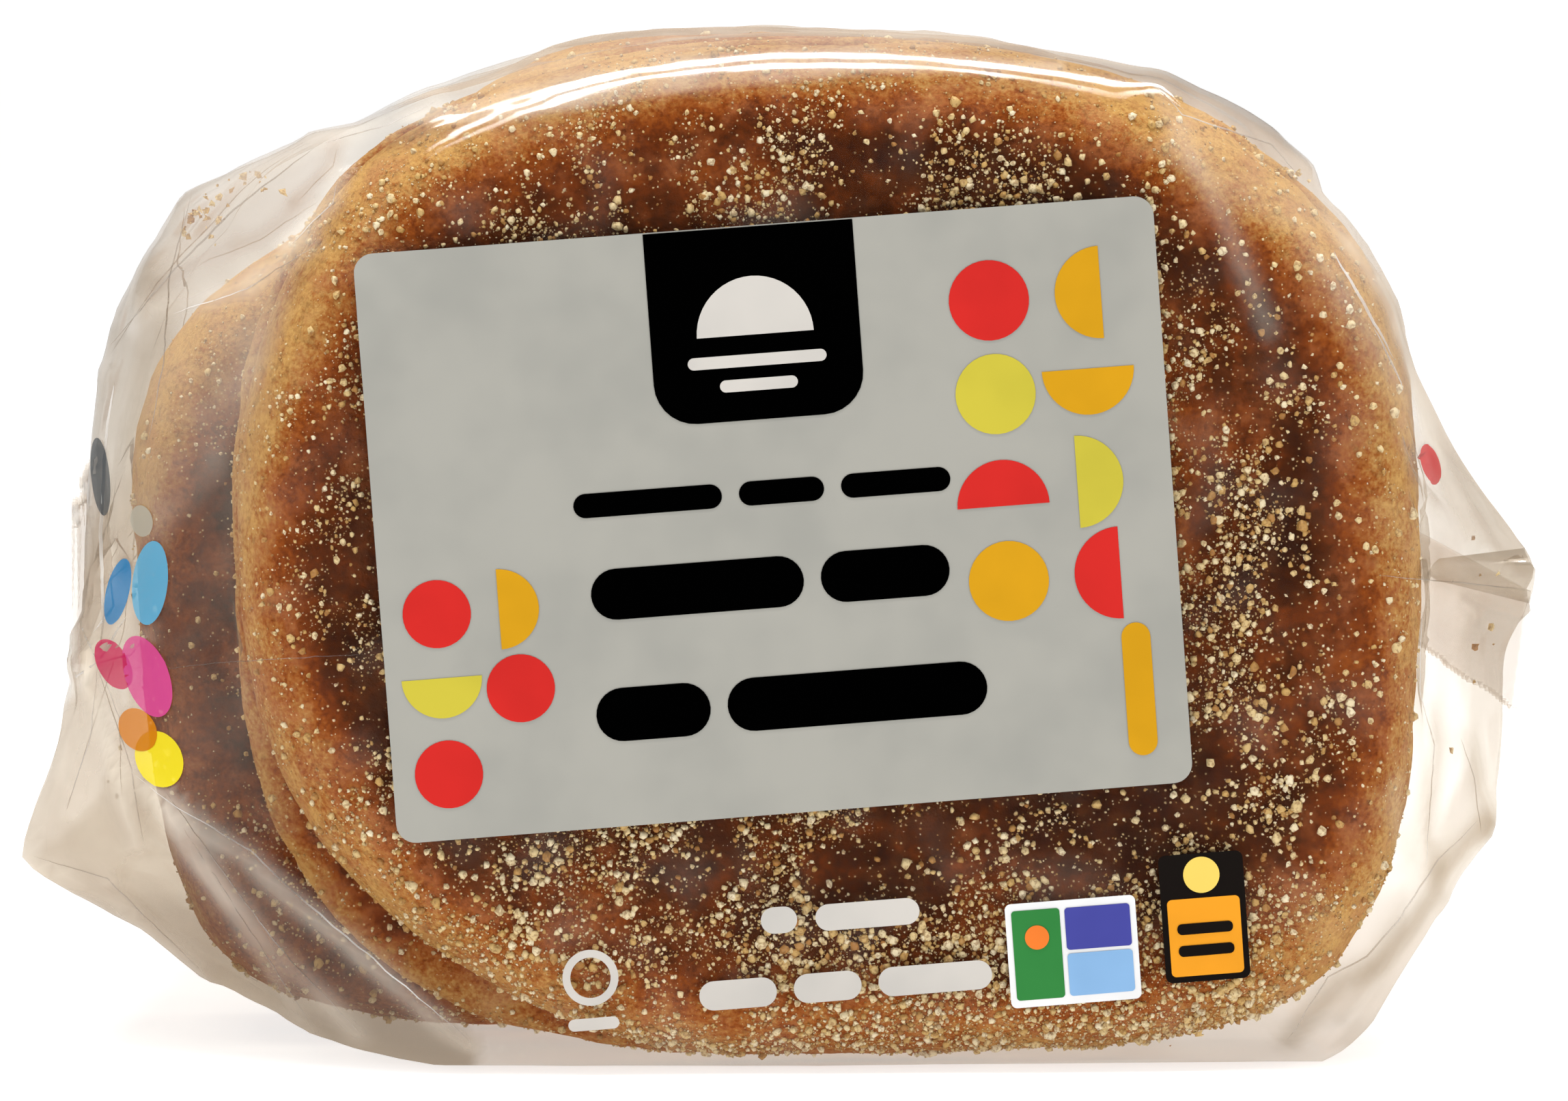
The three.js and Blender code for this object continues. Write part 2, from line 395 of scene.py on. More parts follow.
# The bag film's darker tint and milkiness carry painted shade and painted sheen where folds and places ask
# for it
clearFilm = filmMaterial(
    "clear_film",
    lambda paint, facing: filmLook["dullShare"] * (paint.reads("dull") + 0.2 * facing**4),
    lambda paint, facing: paint.reads("haze") + 0.05 * facing**2,
    filmLook["milkAndSheen"],
    lambda paint, edge: edge * paint.reads("shiny") + paint.reads("glint"),
)
sealFilm = filmMaterial(
    "seal_film",
    lambda paint, facing: 0.02 * facing,
    lambda paint, facing: 0.12 + 0.1 * facing**2,
    filmLook["paleMilkAndGlint"],
    lambda paint, edge: 0.15 * edge,
)
# The creases' film paints light: where a crease is bright, a white milk stands for a painted glint, and
# elsewhere a darker tint for painted grey shade
creaseGlintAndShade = filmMaterial(
    "fold_film",
    lambda paint, facing: 0.6 - 0.5 * paint.reads("bright"),
    lambda paint, facing: 0.04 + 0.55 * paint.reads("bright"),
    filmLook["paleMilkAndGlint"],
)
ink = inkMaterial()
wornInk = wornInkMaterial()
print("materials ready")

muffin = dict(
    halfWidth=48.5 * mm,
    halfHeight=41.5 * mm,
    # squareness at the upper right, upper left, lower left and lower right, from the front muffin to the back
    corners=(
        (2.45, 2.7, 2.2, 4.0),
        (3.2, 1.66, 4.4, 2.8),
        (2.6, 1.6, 2.8, 3.0),
        (2.9, 1.5, 2.6, 2.6),
        (2.5, 1.55, 2.5, 3.2),
        (2.7, 1.7, 2.4, 2.8),
    ),
    backCorners={0: (2.5, 2.7, 2.85, 4.0)},  # where a muffin's rear half isn't like its front half
    rimRadii=(7.5, 5.0, 7.0, 7.5, 7.0, 7.5),  # in millimetres, from the front muffin to the back
    lumps=((0.5, 13), (0.22, 3.4), (0.1, 1.2)),  # height and size of the crust's unevenness, in millimetres
    grooveDepth=1.7 * mm,
    grooveWidth=0.9 * mm,
    grooveShift=(-2.0, 0, 0.5, -0.5, 0, 1.0),  # in millimetres from the middle of the wall
    grooveShade=0.55,
    steps=360,
    hiddenSteps=220,
    faceRings=36,
    wallRings=40,
    gap=0.2 * mm,
)


# From a muffin's middle to its rim
def muffinReach(angle, index, corners):
    place = (angle / (math.pi / 2) - 0.5) % 4
    here = int(place)
    n = mix(corners[here], corners[(here + 1) % 4], ease(place - here))
    across = abs(math.cos(angle)) / muffin["halfWidth"]
    up = abs(math.sin(angle)) / muffin["halfHeight"]
    wobble = cloud(Vector((math.cos(angle), math.sin(angle), 0)), 0.75, index + 2.3)
    return row["sizes"][index] * (across**n + up**n) ** (-1 / n) * (1 + 0.008 * wobble)


# How far the wall is pulled in at the ragged fork-split groove
def grooveAt(depth, angle, index):
    turn = Vector((math.cos(angle), math.sin(angle), 0))
    wander = (1.2 * cloud(turn, 0.5, index + 4.1) + 0.7 * cloud(turn, 0.12, index + 7.7)) * mm
    ragged = 0.9 + 0.7 * cloud(turn, 0.22, index) + 0.5 * cloud(turn, 0.05, index + 9.1)
    away = (depth - muffin["grooveShift"][index] * mm - wander) / muffin["grooveWidth"]
    return max(0, ragged) * math.exp(-(away**2))


# How toasted the crust is, from 0 pale to 1 dark. x and z are millimetres from the muffin's middle, and rim
# is the share of the way out to its rim
def toastAt(spot, rim, index):
    x, z = spot.x / mm, spot.z / mm
    broad = cloud(spot, 17 * mm, index + 1.7)
    patch = cloud(spot, 6.5 * mm, index + 3.9)
    edge = ease((rim + 0.10 * broad + 0.05 * patch - row["paleFrom"][index]) / 0.2)
    edge *= 1 - 0.35 * ease((-z - 30) / 10)
    toast = row["toast"][index] + 0.25 * broad + 0.20 * patch
    toast += 0.08 * ease((-x - 20) / 10) - 0.18 * ease((x + z - 42) / 24) - 0.14 * ease((-z - 17) / 16)
    return toast - row["paleUpperLeft"][index] * ease((z - x - 42) / 18) - 0.70 * edge


# How much meal lies on it, from 0 to 1
def mealAt(spot, rim, index):
    x, z = spot.x / mm, spot.z / mm
    cluster = cloud(spot, 7 * mm, index + 11.3) + 0.8 * cloud(spot, 2.2 * mm, index + 12.9)
    cluster += 0.06 * x / 45 + 0.09 * ease((z - 18) / 14) + 0.46 * ease((-z - 18) / 14)
    cluster -= 0.3 * ease((x - 36) / 6) + 0.4 * ease((x + z - 46) / 16)
    low = ease((-z - 30) / 8) * ease((x + 32) / 14)
    shown = 1 - (0.6 - 0.5 * low) * ease((rim - 0.78) / 0.2)
    shown *= 1 - 0.7 * ease((rim - 0.95) / 0.05)
    return (0.12 + 0.88 * ease((cluster + 0.12) / 0.7)) * shown


# How large the grits are, as a share of their largest size
def coarsenessAt(spot):
    broad = mix(0.8, 1, ease((spot.x / mm + 12) / 40))
    low = ease((-spot.z / mm - 14) / 16)
    return mix(broad, 0.95, low) * (1 + 0.35 * cloud(spot, 6 * mm, 21.7))


# The faces of a shell from rings of points, with one point in the middle of each end that is closed
def ringFaces(rings, steps, closed=True):
    faces = []
    last = 1 + rings * steps
    end = last - steps
    for k in range(steps):
        after = (k + 1) % steps
        faces.append((0, 1 + k, 1 + after))
        for a in range(1, end, steps):
            b = a + steps
            faces.append((a + k, b + k, b + after, a + after))
        if closed:
            faces.append((end + k, last, end + after))
    return faces


def muffinMesh(index):
    steps = muffin["steps"] if index in (0, row["count"] - 1) else muffin["hiddenSteps"]
    half = pitch / 2 - muffin["gap"] / 2
    lean = Matrix.Rotation(math.radians(row["leanDeg"][index]), 3, "Y")
    centre = row["middle"] + Vector((row["shiftX"][index] * mm, 0, row["shiftZ"][index] * mm))
    centre.y = faceY + (index + 0.5) * pitch
    corners = muffin["corners"][index]
    rimRadius = muffin["rimRadii"][index] * mm
    points, toast, meal, coarseness = [], [], [], []

    def put(x, depth, z, rim, groove=0):
        spot = Vector((x, depth, z))
        push = sum(height * cloud(spot, size * mm, index) for height, size in muffin["lumps"])
        flat = ease((1.05 - rim) / 0.25)
        inward = math.copysign(abs(push) * flat * mm, -depth)
        swell = 1 + push * mm / (45 * mm) * (1 - flat)
        points.append(centre + lean @ Vector((x * swell, depth + inward, z * swell)))
        # in the groove the toast value is raised, which paints shade into the recess
        toast.append(toastAt(spot, rim, index) + muffin["grooveShade"] * groove)
        meal.append(mealAt(spot, rim, index))
        coarseness.append(coarsenessAt(spot))

    # rings from the middle of the front face to that of the back: how far out, and how deep
    shares = [i / muffin["faceRings"] for i in range(1, muffin["faceRings"] + 1)]
    rings = [(share, 0, -half) for share in shares]
    for i in range(1, muffin["wallRings"]):
        share = i / muffin["wallRings"]
        turn = math.pi * share + 0.25 * math.sin(2 * math.pi * share)
        rings.append((1, math.sin(turn) ** 0.8, -half * math.cos(turn)))
    rings += [(share, 0, half) for share in reversed(shares)]
    around = []
    for angle in turnsOf(steps):
        reach = muffinReach(angle, index, corners)
        around.append((angle, reach, muffinReach(angle, index, muffin["backCorners"].get(index, corners))))
    put(0, -half, 0, 0)
    for share, curl, depth in rings:
        backShare = ease((depth + 2.5 * mm) / (3 * mm))
        for angle, frontReach, backReach in around:
            reach = mix(frontReach, backReach, backShare)
            out = (reach - rimRadius) * share + rimRadius * curl
            groove = grooveAt(depth, angle, index) if curl > 0.8 else 0
            pulled = out - muffin["grooveDepth"] * groove
            put(math.cos(angle) * pulled, depth, math.sin(angle) * pulled, out / reach, groove)
    put(0, half, 0, 0)
    faces = ringFaces(len(rings), steps)
    return meshFrom(f"muffin{index + 1}", points, faces, toast=toast, meal=meal, coarseness=coarseness)


muffins = [link(f"muffin{index + 1}", muffinMesh(index), crust) for index in range(row["count"])]
report("muffins", muffins)


def joinedTree(pieces):
    points, faces = [], []
    for piece in pieces:
        start = len(points)
        points += [vertex.co.copy() for vertex in piece.data.vertices]
        faces += [[start + corner for corner in face.vertices] for face in piece.data.polygons]
    return BVHTree.FromPolygons(points, faces)


muffinTree = joinedTree(muffins)

# Corn meal on the crust, thick where the meal attribute is high: grits of two sizes, finer meal and dust.
# Each kind has the shape of its chips, that shape's sizes, and a value for each of the inputs
grits = dict(
    inputs=("Per square metre", "Smallest", "Largest", "Lift", "Seed"),
    kinds={
        "large_grits": ("IcoSphere", {0: 0.5, 1: 1}, (1.38e6, 0.46 * mm, 0.98 * mm, 0.12, 3)),
        "grits": ("UVSphere", {0: 4, 1: 3, 2: 0.55}, (1.76e6, 0.28 * mm, 0.6 * mm, 0.14, 5)),
        "fine_meal": ("UVSphere", {0: 4, 1: 2, 2: 0.55}, (3.5e6, 0.17 * mm, 0.36 * mm, 0.2, 8)),
        "meal_dust": ("Cone", {0: 3, 3: 0.0, 4: 0.6, 5: 0.9}, (6.9e6, 0.12 * mm, 0.22 * mm, 0.2, 15)),
    },
    chips=3,
    roughCorners=0.13,
    smallShare=1.7,  # over 1 makes small grits more common than large ones
    stretch=(0.7, 1.15),
    shares=(1.0, 0.14, 0.06, 0.06, 0.06, 0.3),  # how much of it each muffin has, from the front one
    shareAtLeft=0.36,  # and the left end of the second muffin, which shows beside the first
    leftFrom=30 * mm,
    rimFrom=36 * mm,  # nearer the middle than this, the row hides a face that has another beside it
)


def gritPiece(name, start, shape, shapeSizes, values):
    sizes = dict(zip(grits["inputs"], values))
    graph, given = geometryGraph(name, sizes)

    def drawn(kind, low, high, seed):
        slot = {"FLOAT_VECTOR": 0, "FLOAT": 1, "INT": 2}[kind]
        inputs = {2 * slot: low, 2 * slot + 1: high, 8: seed}
        return graph.node("FunctionNodeRandomValue", dict(data_type=kind), inputs, slot)

    def drawnVector(low, high, seed):
        return drawn("FLOAT_VECTOR", (low,) * 3, (high,) * 3, seed)

    def attribute(label):
        return graph.node("GeometryNodeInputNamedAttribute", dict(data_type="FLOAT"), [label])

    def scaled(vector, share):
        return graph.node("ShaderNodeVectorMath", dict(operation="SCALE"), {0: vector, 3: share})

    chips = []
    for seed in range(grits["chips"]):
        plain = graph.node("GeometryNodeMesh" + shape, None, shapeSizes)
        loose = drawnVector(-grits["roughCorners"], grits["roughCorners"], seed)
        rough = graph.node("GeometryNodeSetPosition", None, {0: plain, 3: loose})
        rough = graph.node("GeometryNodeSetShadeSmooth", None, {0: rough, 2: True})
        chips.append(graph.node("GeometryNodeGeometryToInstance", None, [rough]))
    kinds = graph.node("GeometryNodeJoinGeometry", None, [chips])
    density = attribute("meal") * given["Per square metre"]
    inputs = dict(Mesh=given["Geometry"], Density=density, Seed=given["Seed"])
    points = graph.node("GeometryNodeDistributePointsOnFaces", dict(distribute_method="RANDOM"), inputs)
    normal = points.output("Normal")
    size = (given["Largest"] - given["Smallest"]) * drawn("FLOAT", 0.0, 1.0, 21) ** grits["smallShare"]
    size = (given["Smallest"] + size) * attribute("coarseness")
    points = graph.node("GeometryNodeSetPosition", None, {0: points, 3: scaled(normal, size * given["Lift"])})
    settings = dict(data_type="FLOAT", domain="POINT")
    inputs = {0: points, 2: "tint", 3: drawn("FLOAT", 0.0, 1.0, 33)}
    points = graph.node("GeometryNodeStoreNamedAttribute", settings, inputs)
    kind = drawn("INT", 0, grits["chips"] - 1, 41)
    turned = drawnVector(0.0, 2 * math.pi, 52)
    stretched = scaled(drawnVector(*grits["stretch"], 63), size)
    inputs = {0: points, 2: kinds, 3: True, 4: kind, 5: turned, 6: stretched}
    made = graph.node("GeometryNodeInstanceOnPoints", None, inputs)
    return grown(name, start, graph, made, sizes, grit)


# The muffins' faces as a start for the grits, without those that the row hides
def gritGround():
    ground = bmesh.new()
    for index, piece in enumerate(muffins):
        part = bmesh.new()
        part.from_mesh(piece.data)
        meal = part.verts.layers.float["meal"]
        for vertex in part.verts:
            atLeft = index == 1 and vertex.co.x < middleX - grits["leftFrom"]
            vertex[meal] *= grits["shareAtLeft"] if atLeft else grits["shares"][index]
        freeSide = {0: -1, row["count"] - 1: 1}.get(index, 0)
        hidden = []
        for face in part.faces:
            across = abs(face.calc_center_median().x - middleX)
            onRim = across > grits["rimFrom"] or abs(face.normal.y) < 0.8
            if not onRim and face.normal.y * freeSide <= 0:
                hidden.append(face)
        bmesh.ops.delete(part, geom=hidden, context="FACES")
        mesh = bpy.data.meshes.new("part")
        part.to_mesh(mesh)
        part.free()
        ground.from_mesh(mesh)
    mesh = bpy.data.meshes.new("gritGround")
    ground.to_mesh(mesh)
    ground.free()
    return mesh


ground = gritGround()
gritPieces = [gritPiece(name, ground, *kind) for name, kind in grits["kinds"].items()]
report("grits", gritPieces)

# The eye that looks at the front, and one that looks at the back in the same way
turn, rise = math.radians(view["turnDeg"]), math.radians(view["riseDeg"])
towardsEye = Vector((math.sin(turn) * math.cos(rise), -math.cos(turn) * math.cos(rise), math.sin(rise)))
eyeRight = Vector((math.cos(turn), math.sin(turn), 0))
eyeUp = eyeRight.cross(-towardsEye)
offAxisX = (view["frontMiddle"][0] - view["width"] / 2) * view["pixel"]
offAxisY = (view["frontMiddle"][1] - view["height"] / 2) * view["pixel"]
frontEye = Vector((middleX, faceY, middleZ)) - eyeRight * offAxisX + eyeUp * offAxisY
frontEye += towardsEye * view["distance"]
rearEye = Vector((frontEye.x, -frontEye.y, frontEye.z))
eyes = {"front": (frontEye, faceY), "rear": (rearEye, -faceY)}


# Where points show on the plane of the end muffin's face, in millimetres from the front muffin's middle
def shownAt(points, side):
    eye, planeY = eyes[side]
    away = points - numpy.array(eye)
    share = (planeY - eye.y) / away[:, 1]
    x = (eye.x + away[:, 0] * share - middleX) / mm
    z = (eye.z + away[:, 2] * share - middleZ) / mm
    return numpy.stack([x, z], axis=1)


def distanceToLine(spots, line):
    nearest = numpy.full(len(spots), 1e9)
    for start, end in zip(line, line[1:]):
        start, end = numpy.array(start), numpy.array(end)
        along = end - start
        t = numpy.clip(((spots - start) @ along) / (along @ along), 0, 1)
        gap = numpy.linalg.norm(spots - start - t[:, None] * along, axis=1)
        nearest = numpy.minimum(nearest, gap)
    return nearest


def insideShape(spots, corners):
    inside = numpy.zeros(len(spots), bool)
    for (x1, z1), (x2, z2) in zip(corners, corners[1:] + corners[:1]):
        spans = (spots[:, 1] > z1) != (spots[:, 1] > z2)
        crossing = x1 + (x2 - x1) * (spots[:, 1] - z1) / ((z2 - z1) or 1e-9)
        inside ^= spans & (spots[:, 0] < crossing)
    return inside


# Folds in the film, as seen from the front, in millimetres from the front muffin's middle. After a fold's
# line: how far it stands out or in, half its width, the width of the crease along it, how far that crease is
# painted from a grey shade to a white glint, and how much painted milky sheen and painted shade the film has
# beside it.
folds = [
    ([(60, -3.8), (52.1, -2.9), (45.3, -2.3)], -0.5, 2.5, 0.2, 0.6, 0.1, 0),
    ([(52.1, -2.5), (46, 10.5), (39.5, 22.6)], 0.9, 4.5, 0, 0, 0.08, 0),
    ([(52.1, -3.7), (49.8, -16), (47.4, -27.7), (41.7, -38.4)], 1.1, 4.5, 0, 0, 0, 0.45),
    ([(48.8, -5.3), (48.7, -11.9), (49.9, -16.3), (49.3, -26.5)], -0.6, 1.8, 0.2, 0.9, 0, 0.7),
    ([(52.1, -15.7), (53.2, -19), (53.9, -23.5)], 0.4, 2.0, 0.2, 0.2, 0, 0.5),
    (
        [(53.6, -22.6), (50.3, -25.8), (47.2, -30.5), (44.4, -33.8), (41.2, -35.5), (38, -40.6)],
        0.8, 3.0, 0.3, 0.4, 0, 0.8,
    ),
    (
        [(38.4, 30.7), (41.6, 23.9), (46.1, 16.1), (48.2, 11.1), (49.7, 7.5), (52.6, 1.5)],
        0.7, 2.5, 0, 0, 0.1, 0,
    ),
    ([(44.7, 18.1), (46.1, 15.5), (47.2, 12.9)], 0, 1, 0.35, 1.0, 0.1, 0),
    ([(41.4, 24.4), (43.5, 20.8), (46.4, 15.6)], 0, 1, 0.5, 1.0, 0.15, 0),
    ([(26.9, 37.8), (28.9, 35.6), (36.2, 33.2), (38.4, 30.7)], 0.6, 2.5, 0.25, 0.5, 0, 0),
    ([(45.2, -20), (46.6, -24), (50.2, -29)], 0.3, 1.6, 0, 0, 0.1, 0),
    ([(27.1, 36.7), (32, 28), (36.1, 18)], 0, 1, 0, 0, 0.14, 0),
    ([(-58.4, 14), (-59.2, 9), (-59.6, 1.5), (-59.4, -5), (-59.7, -8.7)], 0.8, 2.0, 0.6, 1.0, 0, 0),
    ([(-53.4, 22.1), (-54.8, 14), (-56.4, 7), (-59.7, -9)], 0.9, 3.5, 0, 0, 0, 0.55),
    ([(-58.7, 17), (-53.6, 23), (-48.6, 28), (-42.1, 33)], 0.9, 4.0, 0.3, 0.2, 0, 0.5),
    ([(-52.1, 29), (-53.9, 22.5), (-54.4, 15.5), (-55.7, 9)], 0.7, 2.5, 0.25, 0.3, 0, 0.4),
    ([(-53.6, 19.5), (-47.6, 21.5), (-42.1, 25)], 0.5, 2.0, 0.2, 0.9, 0.2, 0),
    ([(-40.1, 30.5), (-40.6, 28.5), (-44.1, 25)], 0.4, 1.8, 0.2, 0.9, 0.25, 0),
    ([(-41.6, 33.3), (-36.1, 34.8), (-32.1, 36.8)], 0.3, 1.8, 0.2, 0.9, 0.2, 0),
    ([(-62.2, -13.4), (-65.2, -24.9)], 0.4, 2.0, 0, 0, 0.15, 0),
    ([(-65.2, -24.9), (-59.2, -26.8), (-51.6, -34.4)], 0.7, 2.5, 0.2, 0.3, 0.2, 0),
    ([(-59.9, -9.6), (-57.2, -17.8), (-56.3, -23.7)], 1.0, 2.5, 0.2, 0.3, 0.2, 0),
    (
        [(-57.2, -18.1), (-53.4, -21), (-47.5, -24.5), (-44.5, -27.5), (-29.5, -40.4)],
        1.0, 4.0, 0.3, 0.8, 0.26, 0,
    ),
    ([(-54.5, -19.5), (-49.6, -26.5), (-45.2, -32.5), (-38.6, -39.6)], 0.7, 3.0, 0.2, 0.3, 0.2, 0),
    ([(-53.0, -22.6), (-46.0, -33.5), (-42.6, -39.0)], 0.5, 2.0, 0.15, 0.3, 0.14, 0),
    ([(-59.9, -9), (-61.4, -5.5), (-61.6, -0.5)], -0.5, 1.2, 0.4, 1.0, 0.2, 0),
    ([(-59.9, -9), (-57.6, -5.2)], -0.4, 1.2, 0.4, 1.0, 0.2, 0),
    ([(-60.2, -6.5), (-58.6, -4.4), (-58.9, -1.5)], 0.3, 1.0, 0.35, 1.0, 0.15, 0),
    ([(-59.9, -9), (-57.2, -8.4), (-55.8, -6.8)], 0.3, 1.0, 0.3, 1.0, 0.15, 0),
    ([(-59.9, -9), (-55.2, -9.6), (-49, -9.0), (-38, -8.4)], 0.25, 1.4, 0.12, 0.15, 0, 0),
    ([(-59.9, -9), (-62.3, -10.6)], -0.4, 1.2, 0.4, 1.0, 0.2, 0),
    ([(-59.9, -9), (-60.6, -15.5), (-62.6, -21.0)], 0.5, 1.4, 0.15, 0.6, 0, 0),
    ([(-59.9, -9), (-58.2, -13.5), (-58.0, -20.0)], 0.4, 1.2, 0.15, 0.5, 0, 0),
]

# Places on the film, seen in the same way, where the film's own milkiness and tint carry painted sheen and
# painted shade. After a place's corners: how milky, how much painted shade, how far its edge fades out, and
# how calm its shine is
places = [
    ([(-42, 35.5), (-12, 41), (16, 41.3), (34, 38), (40, 50), (-50, 50)], 0.18, 0.12, 0.8, 0.9),
    ([(-49.5, 29), (49.5, 29), (49.5, -43), (-49.5, -43)], 0, 0, 1.5, 0.75),
    (
        [(-59.9, -9.6), (-62.4, -13.4), (-67, -25), (-59.2, -27.5), (-56.3, -23.7), (-57.2, -17.8)],
        0.2, 0.8, 0.8, 0.7,
    ),
    (
        [(-57, -18.3), (-47.5, -24.5), (-44.5, -27.5), (-29.5, -40.6), (-30, -46), (-50, -42), (-66, -27.2)],
        0.06, 1.25, 1.0, 0.6,
    ),
    ([(-67, -26.2), (-59, -27.5), (-51.6, -34.4), (-42, -40), (-40, -46), (-70, -40)], 0.13, 1.0, 1.5, 0),
    ([(-57, 0), (-53.4, 22), (-44, 34), (-38, 36), (-44, 24), (-50, 8)], 0.14, -0.1, 2.0, 0),
    (
        [(49.5, 9), (60, 0), (62, -5), (59, -10), (58, -20),
         (56, -26), (47, -42), (42, -41), (48.5, -28), (50, -10)],
        0.05, 0.27, 0.6, 0.6,
    ),
    (
        [(43.4, 21.5), (46.1, 15.5), (48.1, 10.6), (49.6, 7.4),
         (52.5, 1.9), (57.7, -2.4), (60, 6), (50, 22)],
        0.16, 0.5, 0.5, 0.25,
    ),
    ([(48.6, -3), (52, -4), (51.8, -18), (49.5, -24)], 0.05, -0.6, 0.5, 0.8),
    (
        [(-60, -9), (-56.8, 3.9), (-53.4, 22), (-46, 24), (-49, 0), (-46, -22), (-55, -20)],
        0.06, 0.3, 3.0, 0.8,
    ),
    ([(-60.5, -10), (-62.5, -2), (-61.5, 8), (-58, 18), (-54.5, 16), (-56, 4), (-57, -9)], 0, 0.55, 0.8, 0),
    ([(-53.4, 22.1), (-48.2, 27.8), (-42.2, 33), (-44, 37), (-56, 31)], 0.12, -0.2, 0.6, 0),
    ([(48.2, 6), (51, 3), (51.6, -3), (50, -25), (46.5, -30), (48.9, -20), (49, -5)], 0.05, -0.3, 0.5, 0.8),
    (
        [(-34.6, 35.3), (-21.5, 38.6), (-12.8, 40.1), (3, 40.6),
         (18.8, 39.6), (3, 39.4), (-12.8, 37.8), (-28, 35.4)],
        0.24, -0.2, 0.7, 0,
    ),
    ([(30, 36), (40, 30), (50, 8), (46, 5), (38, 26), (28, 33)], 0.12, -0.15, 1.5, 0),
]

# Where the film turns over an edge and catches the light: a line, half its width, and how much it mirrors
glosses = [
    ([(-36.5, 34.0), (-31.8, 34.6), (-22.1, 37.4), (-10.9, 39.6)], 1.2, 0.10),
    ([(-22.1, 37.8), (-10.9, 40.0), (3.3, 40.6), (18.8, 39.5), (28.4, 38.2)], 1.1, 0.13),
    ([(28.4, 38.2), (31, 37.5), (37, 33)], 1.1, 0.12),
]

film = dict(
    stations=420,
    capRings=60,
    sideRings=50,
    crowding=1.7,  # over 1 puts a cap's rings closer together near its edge
    turnFromDeg=20,
    turnToDeg=80,
    tautGap=(1.2 * mm, 2.7 * mm),  # how far off the muffins it starts to be drawn straight, and is fully so
    pulls=40,
    freeGap=(2.4 * mm, 6.4 * mm),  # the same for wrinkles and streaks
    frontDepth=(5 * mm, 15 * mm),  # where what shows from the front gives way to what shows from the back
    clearance=0.65 * mm,
    mostPush=3 * mm,
    wrinkle=0.24 * mm,
    glowWidth=0.9,
    haze=0.001,
    dull=0.34,
    mostDull=1.8,
    veil=0.06,  # how milky the film is in the patches where it lies on the crust
)


# One closed mesh from a CAD node's loose triangles
def solidTree(name):
    copy = bmesh.new()
    copy.from_mesh(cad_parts[name].data)
    bmesh.ops.remove_doubles(copy, verts=copy.verts, dist=0.01 * mm)
    tree = BVHTree.FromBMesh(copy)
    copy.free()
    return tree


# The bag's wall as rings of points: the front cap, the sides and the rear cap
def filmRings():
    bagTree = solidTree("muffin_bag")
    middle = Vector((middleX, 0, middleZ))
    stations, caps, sides = film["stations"], film["capRings"], film["sideRings"]
    outward = [Vector((math.cos(angle), 0, math.sin(angle))) for angle in turnsOf(stations)]

    def wallAt(start, direction):
        return bagTree.ray_cast(start, direction, 1.0)[0]

    def capPoint(k, angle, side):
        return wallAt(middle, outward[k] * math.sin(angle) + Vector((0, side * math.cos(angle), 0)))

    # the direction in which a cap turns over into the side
    def turnOver(k, side):
        reach = (wallAt(middle, outward[k]) - middle).length
        scores = []
        for half in range(2 * film["turnFromDeg"], 2 * film["turnToDeg"]):
            spot = capPoint(k, math.radians(half / 2), side) - middle
            scores.append((1.2 * spot.dot(outward[k]) / reach + abs(spot.y) / (bagDepth / 2), half / 2))
        return math.radians(max(scores)[1])

    def evened(values, reach=4):
        around = range(-reach, reach + 1)
        return [sum(values[(k + d) % stations] for d in around) / len(around) for k in range(stations)]

    front, rear = [], []
    for side, rings in ((-1, front), (1, rear)):
        turns = evened([turnOver(k, side) for k in range(stations)])
        for step in range(1, caps + 1):
            share = 1 - (1 - step / caps) ** film["crowding"]
            rings.append([capPoint(k, turns[k] * share, side) for k in range(stations)])
    walls = []
    for step in range(1, sides):
        depths = [mix(front[-1][k].y, rear[-1][k].y, step / sides) for k in range(stations)]
        walls.append([wallAt(Vector((middle.x, depths[k], middle.z)), outward[k]) for k in range(stations)])
    rings = front + walls + rear[::-1]
    points = [wallAt(middle, Vector((0, -1, 0)))]
    for ring in rings:
        points += ring
    points.append(wallAt(middle, Vector((0, 1, 0))))
    return numpy.array(points), ringFaces(len(rings), stations)


# The share of the way that values have come from one limit to another
def between(values, low, high):
    return numpy.clip((values - low) / (high - low), 0, 1)


def neighbours(grid, axis):
    return numpy.roll(grid, 1, axis), numpy.roll(grid, -1, axis)


# Draws the film straight where it spans from one muffin's edge to the next or to a seal
def pulledTaut(points):
    caps, stations = film["capRings"], film["stations"]
    slack = between(gapsToMuffins(points), *film["tautGap"])
    slack *= between(points[:, 2], 1.5 * mm, 3.5 * mm)
    slack = slack[1:-1].reshape(-1, stations, 1)
    slack[: caps // 2] = 0
    slack[caps - 4 : -caps + 4] = 0
    slack[-(caps // 2) :] = 0
    grid = points[1:-1].reshape(-1, stations, 3).copy()
    for turn in range(film["pulls"]):
        before, after = neighbours(grid, 0)
        grid += 0.8 * slack * ((before + after) / 2 - grid)
    points[1:-1] = grid.reshape(-1, 3)
    return points


def normalsOf(mesh):
    normals = numpy.empty(len(mesh.vertices) * 3)
    mesh.vertices.foreach_get("normal", normals)
    return normals.reshape(-1, 3)


def moveTo(mesh, points):
    mesh.vertices.foreach_set("co", points.ravel())
    mesh.update()


# How far each point is clear of the muffins
def gapsToMuffins(points):
    gaps = numpy.empty(len(points))
    for i, point in enumerate(points):
        hit, normal, face, distance = muffinTree.find_nearest(point)
        gaps[i] = math.copysign(distance, (Vector(point) - hit).dot(normal))
    return gaps


